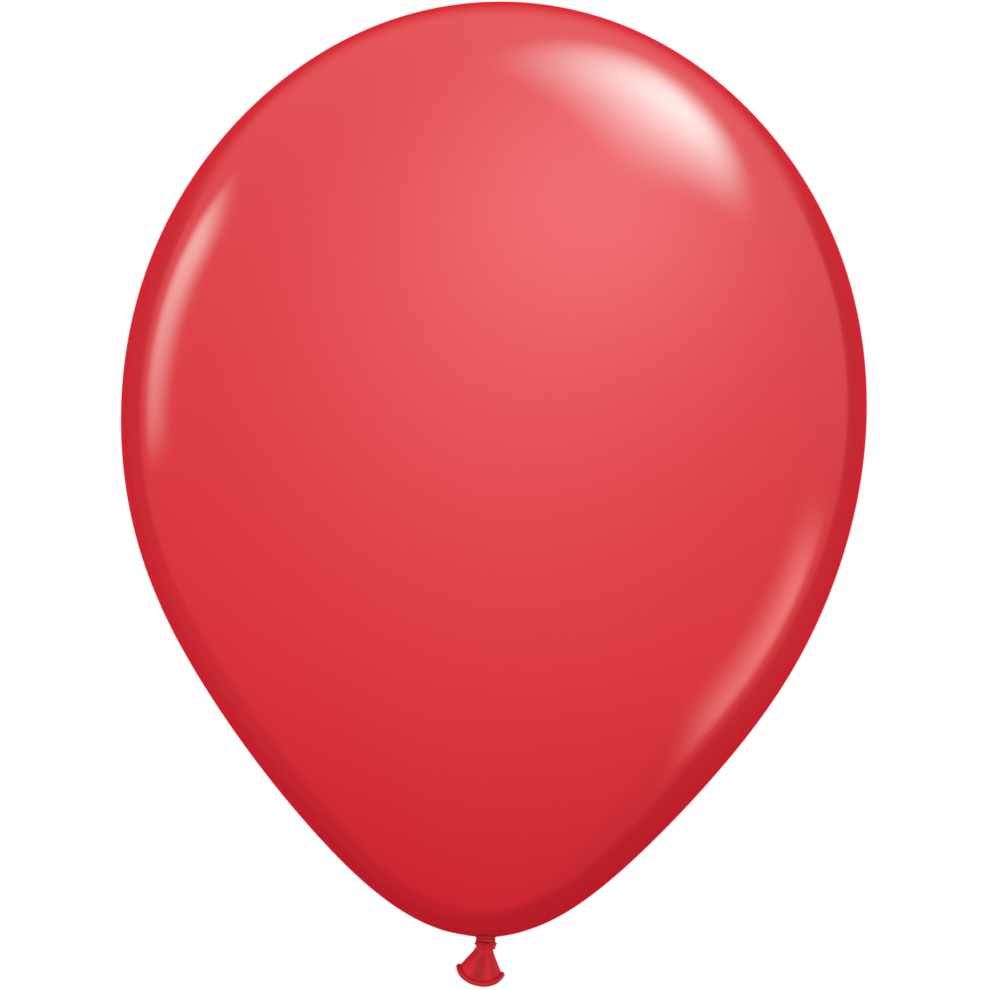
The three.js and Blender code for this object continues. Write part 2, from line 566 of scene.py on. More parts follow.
@dataclass(frozen=True)
class LatexFinish:
    """One finish of the red latex.

    Attributes:
        thin: Colour where the film is stretched thin.
        thick: Colour where it is thick or bunched, and of the painted shade in creases, valleys and on
            the lower belly.
        mottle_scale: Clouds of colour to a metre.
        mottle: How far the clouds shift the colour.
        roughness: Of the film's gloss.
        gloss: Strength of that gloss, where 0.5 is that of smooth latex.
        haze: Weight of the wide, dull lobe that traces of moulding powder give.
        speck_dulling: Roughness that the specks of powder add.
        haze_roughness: Of the wide lobe.
        peel_scale: Grains of orange peel to a metre.
        ripple_scale: Flow ripples to a metre.
        ripple_share: Share of ripple in the relief.
        relief: Height of the relief.
    """

    thin: Colour
    thick: Colour
    mottle_scale: float
    mottle: float
    roughness: float
    gloss: float
    haze: float
    speck_dulling: float
    haze_roughness: float = 0.5
    peel_scale: float = 4800.0
    ripple_scale: float = 900.0
    ripple_share: float = 0.5
    relief: float = 0.04 * MM

    def material(
        self,
        name: str,
        groups: "FilmGroups",
        thickness: Callable[[NodeBuilder], bpy.types.NodeSocket],
    ) -> bpy.types.Material:
        """Makes the material.

        Args:
            name: Its name.
            groups: The shared node groups.
            thickness: Builds the mask of thickness and painted shade, 0 thin to 1 thick, in the
                material's tree.

        Returns:
            The material.
        """
        material = bpy.data.materials.new(name)
        material.use_nodes = True
        material.node_tree.nodes.clear()
        make = NodeBuilder(material.node_tree)
        tone = make.add(
            "ShaderNodeGroup",
            {
                "Thin": (*self.thin, 1.0),
                "Thick": (*self.thick, 1.0),
                "Thickness": thickness(make),
                "Mottle Scale": self.mottle_scale,
                "Mottle Amount": self.mottle,
            },
            node_tree=groups.tone,
        )
        skin = make.add(
            "ShaderNodeGroup",
            {
                "Peel Scale": self.peel_scale,
                "Ripple Scale": self.ripple_scale,
                "Ripple Share": self.ripple_share,
            },
            node_tree=groups.skin,
        )
        bump = make.add(
            "ShaderNodeBump",
            {"Height": skin.outputs["Height"], "Distance": self.relief, "Strength": 1.0},
        )
        dull = make.math("MULTIPLY", skin.outputs["Specks"], self.speck_dulling)
        shader = make.add(
            "ShaderNodeBsdfPrincipled",
            {
                "Base Color": tone.outputs["Color"],
                "Roughness": make.math("ADD", dull, self.roughness),
                "IOR": LATEX_IOR,
                "Specular IOR Level": self.gloss,
                "Coat Weight": self.haze,
                "Coat Roughness": self.haze_roughness,
                "Coat IOR": LATEX_IOR,
                "Normal": bump.outputs["Normal"],
            },
        )
        make.add("ShaderNodeOutputMaterial", {"Surface": shader.outputs[0]})
        return material


@dataclass
class FilmGroups:
    """The node groups that every finish shares."""

    tone: bpy.types.NodeTree = field(default_factory=film_tone_group)
    skin: bpy.types.NodeTree = field(default_factory=film_skin_group)


# Its thick colour also paints shade on the envelope's lower belly.
STRETCHED = LatexFinish(
    thin=(0.755, 0.0257, 0.0385),
    thick=(0.645, 0.0110, 0.0245),
    mottle_scale=26.0,
    mottle=0.08,
    roughness=0.10,
    gloss=0.5,
    haze=0.12,
    speck_dulling=0.02,
    haze_roughness=0.45,
    peel_scale=900.0,
    ripple_scale=60.0,
    relief=0.01 * MM,
)
# Its thick colour is bunched film on the neck, and painted shade in the collar's pleat valleys.
GATHERED = LatexFinish(
    thin=(0.645, 0.0110, 0.0245),
    thick=(0.50, 0.0085, 0.017),
    mottle_scale=420.0,
    mottle=0.30,
    roughness=0.15,
    gloss=0.4,
    haze=0.08,
    speck_dulling=0.10,
    peel_scale=5200.0,
    ripple_scale=1100.0,
    ripple_share=0.45,
    relief=0.03 * MM,
)
# Its thick colour also paints shade in the knot's creases and the tail's valleys.
RELAXED = LatexFinish(
    thin=(0.78, 0.022, 0.036),
    thick=(0.44, 0.007, 0.014),
    mottle_scale=380.0,
    mottle=0.16,
    roughness=0.30,
    gloss=0.14,
    haze=0.05,
    speck_dulling=0.14,
)
ROLLED = LatexFinish(
    thin=(0.66, 0.014, 0.026),
    thick=(0.46, 0.008, 0.016),
    mottle_scale=420.0,
    mottle=0.20,
    roughness=0.28,
    gloss=0.16,
    haze=0.06,
    speck_dulling=0.12,
)


def dress(piece: bpy.types.Object, material: bpy.types.Material, slot: Slot) -> None:
    """Gives a piece its material, and logs how many faces it has.

    Args:
        piece: The piece.
        material: Its material.
        slot: The slot. Not used.
    """
    piece.data.materials.append(material)
    log.info("%s: %d faces", piece.name, len(piece.data.polygons))


def even_thickness(share: float) -> Callable[[NodeBuilder], bpy.types.NodeSocket]:
    """A thickness mask that is nearly the same all over: a gentle cloud round a share.

    Args:
        share: The thickness, from 0 to 1.

    Returns:
        What builds the mask.
    """

    def build(make: NodeBuilder) -> bpy.types.NodeSocket:
        """Adds the cloud to a material's tree.

        Args:
            make: Builds in that tree.

        Returns:
            The mask.
        """
        cloud = make.noise(150.0)
        return make.math("MULTIPLY_ADD", cloud, 0.2, share - 0.1)

    return build


def painted_crease_shade(low: float, high: float) -> Callable[[NodeBuilder], bpy.types.NodeSocket]:
    """A mask of painted shade that follows the fold attribute, dark where the fold is high in creases
    and valleys.

    Args:
        low: The mask's value where the fold is 0.
        high: Its value where the fold is 1.

    Returns:
        What builds the mask.
    """

    def build(make: NodeBuilder) -> bpy.types.NodeSocket:
        """Adds the reading of the attribute to a material's tree.

        Args:
            make: Builds in that tree.

        Returns:
            The mask.
        """
        # Painted shade: the fold is highest in creases and valleys, and darkens the colour there.
        fold = make.add("ShaderNodeAttribute", attribute_name=FOLD).outputs["Fac"]
        return make.math("MULTIPLY_ADD", fold, high - low, low)

    return build


# Pieces


@dataclass
class Envelope:
    """The blown-up film: a pear of revolution, whose axis bows a little, over a blunt bottom.

    Attributes:
        pear: Second harmonic of the radius, which narrows it towards the neck.
        shoulder: Third harmonic, which fills its shoulders.
        chin: Fourth harmonic, which blunts its bottom.
        cheek: Fifth harmonic, which straightens its sides below the belly.
        pout: Sixth harmonic, which draws it slightly towards the neck.
        brow: Seventh harmonic, a slow wave over the shoulders.
        belly_swing: How far the lower belly swings to the right of the neck.
        crown_swing: How far the crown does.
        swing_height: Height of the lower belly's swing, as a share of the envelope's.
        swing_spread: Half of the length of that swing, as such a share.
        tilt: How much higher the right side is than the middle, per unit of X.
        bottom_tilt: What is added to the tilt round the neck.
        fullness: Widest radius, as a share of the frame's.
        base: Height of the bottom.
        film: Thickness of the wall.
        hand_over: Radius at which the neck's gathers take over from the skin.
        shade_and_thickening_below: Height under which the colour darkens towards the neck: painted shade
            of the lower belly, and thicker film near the neck.
        spot_edge: Radii between which the thicker spot at the crown fades in.
        spot_foot: Heights between which it does.
        spot_thickness: What the spot adds to the thickness.
        columns: Steps round the axis.
        rows: Steps from the crown to the hand-over.
        inner_rows: Steps back up the inside.
    """

    pear: float = 0.1001
    shoulder: float = -0.0398
    chin: float = 0.0053
    cheek: float = 0.00305
    pout: float = -0.0032
    brow: float = 0.0022
    belly_swing: float = 1.55 * MM
    crown_swing: float = 0.5 * MM
    swing_height: float = 0.25
    swing_spread: float = 0.12
    tilt: float = 0.0143
    bottom_tilt: float = 0.006
    fullness: float = 1.0017
    base: float = 0.3 * MM
    film: float = 0.25 * MM
    hand_over: float = 9.0 * MM
    shade_and_thickening_below: float = 128.0 * MM
    spot_edge: Edge = (16.0 * MM, 6.0 * MM)
    spot_foot: Edge = (300.0 * MM, 320.0 * MM)
    spot_thickness: float = 0.3
    columns: int = 224
    rows: int = 150
    inner_rows: int = 40

    def __post_init__(self) -> None:
        """Reads the size that the frame gives."""
        low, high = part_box("envelope")
        self.top = float(high.z)
        widest = float(high.x - low.x) / 2.0 * self.fullness
        angles = np.linspace(0.0, math.pi, ANGLE_SAMPLES)
        self.scale = widest / float(self.raw_radius(angles).max())

    def raw_radius(self, angle: np.ndarray) -> np.ndarray:
        """Sine of the polar angle plus its second to seventh harmonics.

        Args:
            angle: 0 at the crown and pi at the bottom.

        Returns:
            The radius, before it is scaled.
        """
        return (
            np.sin(angle)
            + self.pear * np.sin(2 * angle)
            + self.shoulder * np.sin(3 * angle)
            + self.chin * np.sin(4 * angle)
            + self.cheek * np.sin(5 * angle)
            + self.pout * np.sin(6 * angle)
            + self.brow * np.sin(7 * angle)
        )

    def profile(self, angle: np.ndarray) -> np.ndarray:
        """The even envelope's profile: the height falls with the cosine of the polar angle.

        Args:
            angle: 0 at the crown and pi at the bottom.

        Returns:
            (Radius, height) rows.
        """
        height = self.base + (self.top - self.base) / 2.0 * (1.0 + np.cos(angle))
        return np.stack([self.scale * self.raw_radius(angle), height], axis=-1)

    def angle_at(self, radius: float) -> float:
        """Finds a radius on the profile's narrow end.

        Args:
            radius: The radius.

        Returns:
            The polar angle where the profile has narrowed to it.
        """
        angles = np.linspace(math.pi * 0.75, math.pi, ANGLE_SAMPLES)
        radii = self.scale * self.raw_radius(angles)
        return float(np.interp(-radius, -radii, angles))

    def bowed(self, points: np.ndarray) -> np.ndarray:
        """Points of an even envelope moved to where this one's are.

        They go to the right of the neck by a bump at the lower belly and a slow swing up to the crown,
        and up or down by the tilt, which starts a little above the gathers.

        Args:
            points: Grid points of the even envelope.

        Returns:
            The moved points.
        """
        share = np.clip(points[..., 2] / self.top, 0.0, 1.0)
        moved = points.copy()
        tilt = self.tilt + self.bottom_tilt * smooth_step(0.15, 0.02, share)
        moved[..., 2] += tilt * points[..., 0] * smooth_step(0.0, 0.008, share)
        bump = bell(share, self.swing_height, self.swing_spread) * smooth_step(0.0, 0.1, share)
        moved[..., 0] += self.belly_swing * bump
        moved[..., 0] += self.crown_swing * smooth_step(0.0, 1.1, share)
        return moved

    def build(self) -> bpy.types.Object:
        """The skin: down the outside from the crown to the hand-over, and up the inside again.

        Returns:
            The piece.
        """
        last = self.angle_at(self.hand_over)
        outside = self.profile(np.linspace(0.0, last, self.rows))
        angles = np.linspace(last, 0.0, self.inner_rows)
        inside = self.profile(angles)
        step = 1e-4
        along = unit(self.profile(angles + step) - self.profile(angles - step))
        inside += np.stack([along[:, 1], -along[:, 0]], axis=-1) * self.film
        outside[0, 0] = inside[-1, 0] = 0.0
        points = turned_profile(np.vstack([outside, inside]), self.columns)
        return Grid(self.bowed(points)).build("envelope_skin")

    def thickness(self, make: NodeBuilder) -> bpy.types.NodeSocket:
        """Thick towards the neck, with painted shade of the lower belly on the same ramp, and on the
        spot at the crown; thin over the belly.

        Args:
            make: Builds in the material's tree.

        Returns:
            The mask.
        """
        away, height = make.axis_distance()
        # Painted shade: the colour darkens from the lower belly down to the neck, on top of the thicker
        # film there.
        low = make.ramp(height, self.shade_and_thickening_below, 0.0)
        spot = make.math(
            "MULTIPLY", make.ramp(away, *self.spot_edge), make.ramp(height, *self.spot_foot)
        )
        return make.math("MULTIPLY_ADD", spot, self.spot_thickness, low)

    def assemble(self, groups: FilmGroups) -> None:
        """Builds, dresses and hangs the skin on its body.

        Args:
            groups: The shared node groups.
        """
        skin = self.build()
        dress(skin, STRETCHED.material("stretched_latex", groups, self.thickness), Slot.ENVELOPE)
        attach(skin, Body.ENVELOPE.value)
        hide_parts("envelope")


@dataclass
class Neck:
    """The gathers: film drawn in from the envelope's bottom to the waist, in fine radial pleats.

    Attributes:
        waist: Radius at the waist.
        pleat_depth: Depth of a pleat at the waist.
        pleat_lift: How far a pleat's valley rises on the way in, as a share of that depth.
        joining: Radius at which the film leaves the envelope's own line.
        film: Thickness of the wall.
        bend: Heights between which the film bends from the envelope to the neck.
        thick_edge: Radii between which the film thickens inwards.
        columns: Steps round the axis.
    """

    waist: float = 3.75 * MM
    pleat_depth: float = 0.3 * MM
    pleat_lift: float = 0.35
    joining: float = 4.7 * MM
    film: float = 0.25 * MM
    bend: Edge = (0.95 * MM, 0.1 * MM)
    thick_edge: Edge = (9.0 * MM, 3.0 * MM)
    columns: int = 272

    def pleated(self, points: np.ndarray, strength: np.ndarray) -> np.ndarray:
        """Points pressed inwards along the pleats, which are sharp in their valleys and uneven in depth.

        Args:
            points: Grid points.
            strength: Depth for each row, as a column vector.

        Returns:
            The pleated points.
        """
        turn = turns(self.columns)
        uneven = 0.75 + 0.25 * np.sin(2 * turn + 1.1)
        valley = ((1.0 + pleat_wave(self.columns)) / 2.0) ** 1.6 * uneven
        radius = np.hypot(points[..., 0], points[..., 1])
        moved = points.copy()
        moved[..., :2] *= (1.0 - strength * valley / np.maximum(radius, 0.5 * MM))[..., None]
        return moved

    def profile(self, envelope: Envelope) -> tuple[np.ndarray, np.ndarray]:
        """The section of the gathers.

        Args:
            envelope: Gives the line that the outer edge follows.

        Returns:
            (Radius, height) rows in along the outside to the waist, and back out along the inside.
        """
        first = envelope.angle_at(envelope.hand_over)
        last = envelope.angle_at(self.joining)
        along_envelope = envelope.profile(np.linspace(first, last, 26))
        turn_down = smooth_curve(
            [
                tuple(along_envelope[-1]),
                (4.1 * MM, 0.40 * MM),
                (3.75 * MM, 0.17 * MM),
                (self.waist, -0.12 * MM),
                (3.4 * MM, -0.36 * MM),
                (2.5 * MM, -0.46 * MM),
            ],
            7,
        )[1:]
        back = np.array([(2.3, -0.2), (2.9, 0.1), (3.3, 0.5), (4.2, 0.80), (6.0, 1.02)]) * MM
        edge = [[envelope.hand_over, along_envelope[0, 1] + self.film]]
        return np.vstack([along_envelope, turn_down]), np.vstack([back, edge])

    def build(self, envelope: Envelope) -> bpy.types.Object:
        """The gathers' closed film, with pleats on the outside that grow from its edge to the waist.

        Args:
            envelope: Gives the line that the outer edge follows.

        Returns:
            The piece.
        """
        outside, inside = self.profile(envelope)
        edge = envelope.hand_over
        radius = np.concatenate([outside[:, 0], np.full(len(inside), edge)])[:, None]
        wave = pleat_wave(self.columns)
        points = turned_profile(np.vstack([outside, inside]), self.columns)
        depth = self.pleat_depth * smooth_step(edge, self.waist, radius) ** 1.4
        points = self.pleated(points, depth)
        lift = smooth_step(edge, 5.0 * MM, radius) * smooth_step(3.6 * MM, 4.6 * MM, radius)
        points[..., 2] += self.pleat_lift * self.pleat_depth * lift * wave
        fold = (0.5 - 0.5 * wave) * smooth_step(edge, 4.5 * MM, radius)
        return Grid(envelope.bowed(points), Ends.JOINED, fold).build("neck_gathers")

    def thickness(self, make: NodeBuilder) -> bpy.types.NodeSocket:
        """As the envelope's bottom at the outer edge, and thicker towards the waist and on the ridges.

        Args:
            make: Builds in the material's tree.

        Returns:
            The mask.
        """
        away, _ = make.axis_distance()
        near = make.math("MULTIPLY", make.ramp(away, *self.thick_edge), 0.6)
        fold = make.add("ShaderNodeAttribute", attribute_name=FOLD).outputs["Fac"]
        return make.math("MULTIPLY_ADD", fold, 0.4, near)

    def assemble(self, envelope: Envelope, groups: FilmGroups) -> None:
        """Builds and dresses the gathers, and hides the frame's neck.

        Args:
            envelope: What they hang from.
            groups: The shared node groups.
        """
        gathers = self.build(envelope)
        dress(gathers, GATHERED.material("gathered_latex", groups, self.thickness), Slot.GATHERS)
        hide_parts("neck")
        start, end = ((0.0, 0.0, height) for height in self.bend)
        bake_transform(gathers)
        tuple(start)
        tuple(end)


@dataclass
class Knot:
    """The overhand knot: a bunched band of film that winds round the strand.

    Attributes:
        ring: Radius of the band's middle line at its widest.
        middle: Height of the knot's middle.
        windings: How many times the band goes round.
        facing: Turn of the band's halfway point.
        run_in: Share of the band, at either end, that dives in to the strand.
        tightening: Share of the ring that the last winding loses.
        pitch: Half of the band's drop over all its windings.
        band_height: Height of the band's section.
        band_thickness: Its thickness, in the radial direction.
        folds: Creases that run along the band.
        fold_depth: Half of their depth, as a share of the section.
        fold_twist: Turns that the creases make about the band.
        slant: How far the right side hangs lower than the left, per unit of X.
        flutes: Ridges along the strand.
        flute_depth: Their depth, as a share of its radius.
        flute_twist: Radians that they turn in each metre of the strand.
    """

    ring: float = 2.9 * MM
    middle: float = -2.66 * MM
    windings: float = 1.62
    facing: float = 1.05 * math.pi
    run_in: float = 0.16
    tightening: float = 0.2
    pitch: float = 0.95 * MM
    band_height: float = 2.35 * MM
    band_thickness: float = 2.6 * MM
    folds: int = 6
    fold_depth: float = 0.075
    fold_twist: float = 1.3
    slant: float = 0.10
    flutes: int = 9
    flute_depth: float = 0.06
    flute_twist: float = 300.0

    def band(self) -> Grid:
        """The band: an oval section carried along a flat spiral that dives in at both ends.

        The section shrinks by the cosine of a few turns round it, which makes the creases, and by a
        slower one along the band, which makes it swell and pinch.

        Returns:
            The grid, with its fold highest in the creases, where the colour is darkened as painted
            shade.
        """
        rows, columns = 150, 56
        share = np.linspace(0.0, 1.0, rows)[:, None]
        round_ = turns(columns)
        along = TAU * share
        out = smooth_step(0.0, self.run_in, share) * smooth_step(1.0, 1.0 - self.run_in, share)
        turn = self.windings * (along - math.pi) + self.facing
        tight = 1.0 - self.tightening * smooth_step(0.5, 0.95, share)
        ring = self.ring * (0.35 + 0.65 * out) * tight
        rise = self.pitch * (1.0 - 2.0 * share)
        swell = (0.62 + 0.38 * out) * (1.0 + 0.07 * np.sin(3.0 * turn + 0.4))
        # Painted shade: this mask is highest in the creases, and darkens the colour there as well as
        # shaping them.
        fold = (0.5 + 0.5 * np.cos(self.folds * round_ + self.fold_twist * along)) ** 2
        crease = (1.0 - 2.0 * self.fold_depth * fold) * (1.0 - 0.03 * np.cos(11 * round_ - 5.0 * along))
        cap = np.sqrt(np.clip(1.0 - (2.0 * share - 1.0) ** 40, 0.0, 1.0))
        size = swell * crease * cap / 2.0
        radius = ring + self.band_thickness * size * np.cos(round_)
        x, y = radius * np.cos(turn), radius * np.sin(turn)
        z = self.middle + rise + self.band_height * size * np.sin(round_) - self.slant * x
        return Grid(np.stack([x, y, z], axis=-1), fold=fold)

    def core(self) -> np.ndarray:
        """The strand inside the loop: a fluted rod, bulging where the band lets it.

        Returns:
            Grid points.
        """
        profile = smooth_curve(
            [
                (0.0, -0.55 * MM),
                (1.7 * MM, -0.75 * MM),
                (2.0 * MM, -1.6 * MM),
                (1.9 * MM, -2.8 * MM),
                (2.3 * MM, -3.7 * MM),
                (1.6 * MM, -4.4 * MM),
                (0.0, -4.6 * MM),
            ],
            8,
        )
        columns = 72
        profile[:, 0] = np.maximum(profile[:, 0], 0.0)
        points = turned_profile(profile, columns)
        ridge = 0.5 + 0.5 * np.cos(self.flutes * turns(columns) + self.flute_twist * profile[:, 1:])
        points[..., :2] *= (1.0 - self.flute_depth * ridge**2)[..., None]
        return points

    def assemble(self, groups: FilmGroups) -> None:
        """Builds and dresses the band and the strand, and hangs both on the knot.

        Args:
            groups: The shared node groups.
        """
        # Painted shade: the band is darker in its creases, through the fold mask.
        material = RELAXED.material("relaxed_latex_knot", groups, painted_crease_shade(0.35, 0.85))
        band = self.band().build("knot_band")
        rod = self.core()
        core = Grid(rod, fold=np.full(rod.shape[:2], 0.6)).build("knot_core")
        for piece, node in ((band, "knot_loop"), (core, "knot_strand")):
            dress(piece, material, Slot.KNOT)
            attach(piece, Body.KNOT.value)
            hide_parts(node)


@dataclass
class Collar:
    """The short puff of film between the neck's waist and the knot, with the gathers' pleats in it.

    Attributes:
        flute_depth: Depth of the pleats, as a share of the radius.
        bend: Heights between which the film bends from the neck to the knot.
        columns: Steps round the axis.
    """

    flute_depth: float = 0.07
    bend: Edge = (-0.35 * MM, -1.2 * MM)
    columns: int = 144

    def build(self) -> bpy.types.Object:
        """The puff: a closed, fluted cushion.

        Returns:
            The piece.
        """
        profile = smooth_curve(
            [
                (0.0, -0.25 * MM),
                (2.8 * MM, -0.26 * MM),
                (3.55 * MM, -0.5 * MM),
                (3.7 * MM, -0.95 * MM),
                (3.1 * MM, -1.45 * MM),
                (0.0, -1.6 * MM),
            ],
            7,
        )
        points = turned_profile(profile, self.columns)
        valley = 0.5 + 0.5 * pleat_wave(self.columns)
        height = profile[:, 1:]
        flute = valley**1.5 * smooth_step(-1.4 * MM, -0.9 * MM, height)
        points[..., :2] *= (1.0 - self.flute_depth * flute)[..., None]
        # The fold is highest in the pleats' valleys, where the colour is darkened as painted shade.
        fold = np.broadcast_to(valley, points.shape[:2])
        return Grid(points, fold=fold).build("knot_collar")

    def assemble(self, groups: FilmGroups) -> None:
        """Builds and dresses the puff.

        Args:
            groups: The shared node groups.
        """
        collar = self.build()
        # Painted shade: the collar is darker in its pleats' valleys.
        material = GATHERED.material("gathered_latex_collar", groups, painted_crease_shade(0.5, 1.0))
        dress(collar, material, Slot.GATHERS)
        start, end = ((0.0, 0.0, height) for height in self.bend)
        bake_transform(collar)
        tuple(start)
        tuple(end)


@dataclass
class Tail:
    """The free end of the neck below the knot: a flattened funnel, and the rolled lip round its mouth.

    Attributes:
        line: Height of the line that the tail flaps about.
        shift: Of the middle of that line, to the left of the knot's.
        lean: Its lean to the left, in radians.
        slant: From that line to the middle of the lip.
        corner_drop: Share of that slant that is missing at the lip's corners.
        half_angle: Half of the fan's angle.
        root_half_width: Half of its width at the line.
        root_radius: Half of its thickness there.
        mouth_depth: Front to back at the lip.
        film: Thickness of the wall.
        lip: Radius of the rolled lip.
        relief: Height of the pleats, as a share of the film's distance from its middle plane.
        bend: How far above and below the line the film bends.
        front: Pleats of the front, as (height, side, width): side is from -1, left, to 1.
        back: Pleats of the back. The valleys of both faces also carry painted shade.
    """

    line: float = -5.44 * MM
    shift: float = -0.6 * MM
    lean: float = math.radians(10.0)
    slant: float = 11.9 * MM
    corner_drop: float = 0.09
    half_angle: float = math.radians(49.0)
    root_half_width: float = 3.7 * MM
    root_radius: float = 0.9 * MM
    mouth_depth: float = 6.2 * MM
    film: float = 0.25 * MM
    lip: float = 1.08 * MM
    relief: float = 0.30
    bend: Edge = (1.1 * MM, 1.3 * MM)
    front: tuple[Pleat, ...] = (
        (0.5, -0.62, 0.26),
        (-1.0, -0.08, 0.25),
        (0.35, 0.36, 0.13),
        (-0.7, 0.66, 0.12),
    )
    back: tuple[Pleat, ...] = ((-0.9, -0.35, 0.16), (0.5, 0.0, 0.2), (-0.9, 0.38, 0.15))

    def pleats(self, side: np.ndarray, front: np.ndarray) -> np.ndarray:
        """Relief of the faces: on each, the sum of the bumps of its pleats.

        Args:
            side: From -1 at the left edge to 1 at the right one.
            front: Where the face is the front one.

        Returns:
            The relief, positive on a ridge and negative in a valley.
        """
        faces = (
            sum(height * bell(side, centre, width) for height, centre, width in pleats)
            for pleats in (self.front, self.back)
        )
        return np.where(front, *faces)

    def surface(self, along: np.ndarray, turn: np.ndarray, depth_offset: float) -> np.ndarray:
        """Points of the film in the tail's frame.

        Below the line, the fan: a distance along from the line, fanned out by the cosine of the turn.
        Above it, the film runs straight up into the knot. The depth opens with the sine of along.

        Args:
            along: Rows: 0 at the line, 1 at the lip, and negative above the line.
            turn: Columns: the angle round the funnel, with the front at minus a quarter turn.
            depth_offset: Offset of the wall from the middle of the film.

        Returns:
            Grid points.
        """
        side = np.cos(turn)
        face = np.sin(turn)
        fan = np.clip(along, 0.0, 1.2)
        above = np.clip(-along, 0.0, 1.0)
        reach = self.slant * fan * (1.0 - self.corner_drop * side**4)
        shrink = 1.0 - 0.28 * smooth_step(0.0, 0.2, above)
        width = self.root_half_width * (1.0 - fan) * shrink
        opened = self.root_radius + (self.mouth_depth / 2 - self.root_radius) * np.sin(
            np.minimum(fan, 1.0) * math.pi / 2
        )
        opened = opened + 0.9 * MM * smooth_step(0.0, 0.2, above)
        strength = np.sin(math.pi * np.clip((fan + 0.12) / 1.12, 0.0, 1.0)) ** 0.7 * (above < 0.12)
        relief = 1.0 + self.relief * self.pleats(side, face < 0) * strength * np.abs(face) ** 0.5
        outwards = unit(np.stack([side / 3.0, face, np.zeros_like(side)], axis=-1))
        points = np.stack(
            [
                reach * np.sin(self.half_angle * side) + width * side,
                opened * relief * face,
                -reach * np.cos(self.half_angle * side) + self.slant * above,
            ],
            axis=-1,
        )
        return points + outwards * depth_offset

    def build_film(self) -> bpy.types.Object:
        """The funnel: down the outside to the lip, and up the inside to where the film is pressed shut.

        Returns:
            The piece.
        """
        columns = 192
        turn = turns(columns)
        stop = 1.0 - 0.35 * self.lip / self.slant
        outer = np.linspace(-0.2, stop, 64)[:, None]
        inner = np.linspace(stop, 0.22, 40)[:, None]
        outside = self.surface(outer, turn, self.film / 2)
        inside = self.surface(inner, turn, -self.film / 2)
        start = np.repeat(outside[:1].mean(1, keepdims=True), columns, axis=1)
        finish = np.repeat(inside[-1:].mean(1, keepdims=True), columns, axis=1)
        points = np.vstack([start, outside, inside, finish])
        along = np.vstack([outer[:1], outer, inner, inner[-1:]])
        face = smooth_step(0.0, 0.35, np.abs(np.sin(turn)))
        # Painted shade: the fold is highest in the pleats' valleys, and darkens the colour there.
        valleys = 0.5 - 0.5 * self.pleats(np.cos(turn), np.sin(turn) < 0) * face
        shown = smooth_step(-0.1, 0.25, along) * smooth_step(1.15, 0.75, along)
        fold = 0.5 + (valleys - 0.5) * shown
        return Grid(leaned(points, self.lean, self.shift, self.line), fold=fold).build("tail_film")

    def build_lip(self) -> bpy.types.Object:
        """The lip: a round section carried along the mouth, a little uneven, with the roll's edge in it.

        Returns:
            The piece.
        """
        columns, rows, step = 40, 240, 1e-3
        mouth = np.ones((rows, 1))
        turn = turns(rows).T
        middle = self.surface(mouth, turn, 0.0)
        ahead = unit(self.surface(mouth, turn + step, 0.0) - self.surface(mouth, turn - step, 0.0))
        down = unit(middle - self.surface(mouth - step, turn, 0.0))
        out = unit(np.cross(ahead, down))
        down = unit(np.cross(out, ahead))
        round_ = turns(columns)
        swell = 1.0 + 0.035 * np.sin(5 * turn + 1.0) + 0.02 * np.sin(13 * turn)
        from_edge = np.angle(np.exp(1j * (round_ - 2.3 - 0.25 * np.sin(2 * turn))))
        edge = 1.0 - 0.07 * bell(from_edge, 0.0, 0.16)
        radius = (self.lip * swell * edge)[..., None]
        angle = round_[..., None]
        points = middle + radius * (down * np.cos(angle) + out * np.sin(angle))
        points = leaned(points, self.lean, self.shift, self.line)
        return Grid(points, Ends.JOINED).build("rolled_lip_bead")

    def assemble(self, groups: FilmGroups) -> None:
        """Builds and dresses the film and the lip, and hangs the lip on the tail.

        Args:
            groups: The shared node groups.
        """
        film = self.build_film()
        # Painted shade: the tail is darker in its pleats' valleys.
        material = RELAXED.material("relaxed_latex_tail", groups, painted_crease_shade(0.0, 1.0))
        dress(film, material, Slot.TAIL)
        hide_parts("tail_skirt")
        down = Vector((-math.sin(self.lean), 0.0, -math.cos(self.lean)))
        centre = Vector((self.shift, 0.0, self.line))
        above, below = self.bend
        start, end = tuple(centre - down * above), tuple(centre + down * below)
        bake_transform(film)
        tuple(start)
        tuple(end)
        lip = self.build_lip()
        dress(lip, ROLLED.material("rolled_latex", groups, even_thickness(0.5)), Slot.LIP)
        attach(lip, Body.TAIL.value)
        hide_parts("rolled_lip")


# Studio


def towards(azimuth: float, elevation: float) -> Vector:
    """The direction at two angles.

    Args:
        azimuth: Degrees round the balloon, from the camera's side towards the right.
        elevation: Degrees above the level.

    Returns:
        The direction, of length 1.
    """
    turn, rise = math.radians(azimuth), math.radians(elevation)
    return Vector((math.sin(turn) * math.cos(rise), -math.cos(turn) * math.cos(rise), math.sin(rise)))


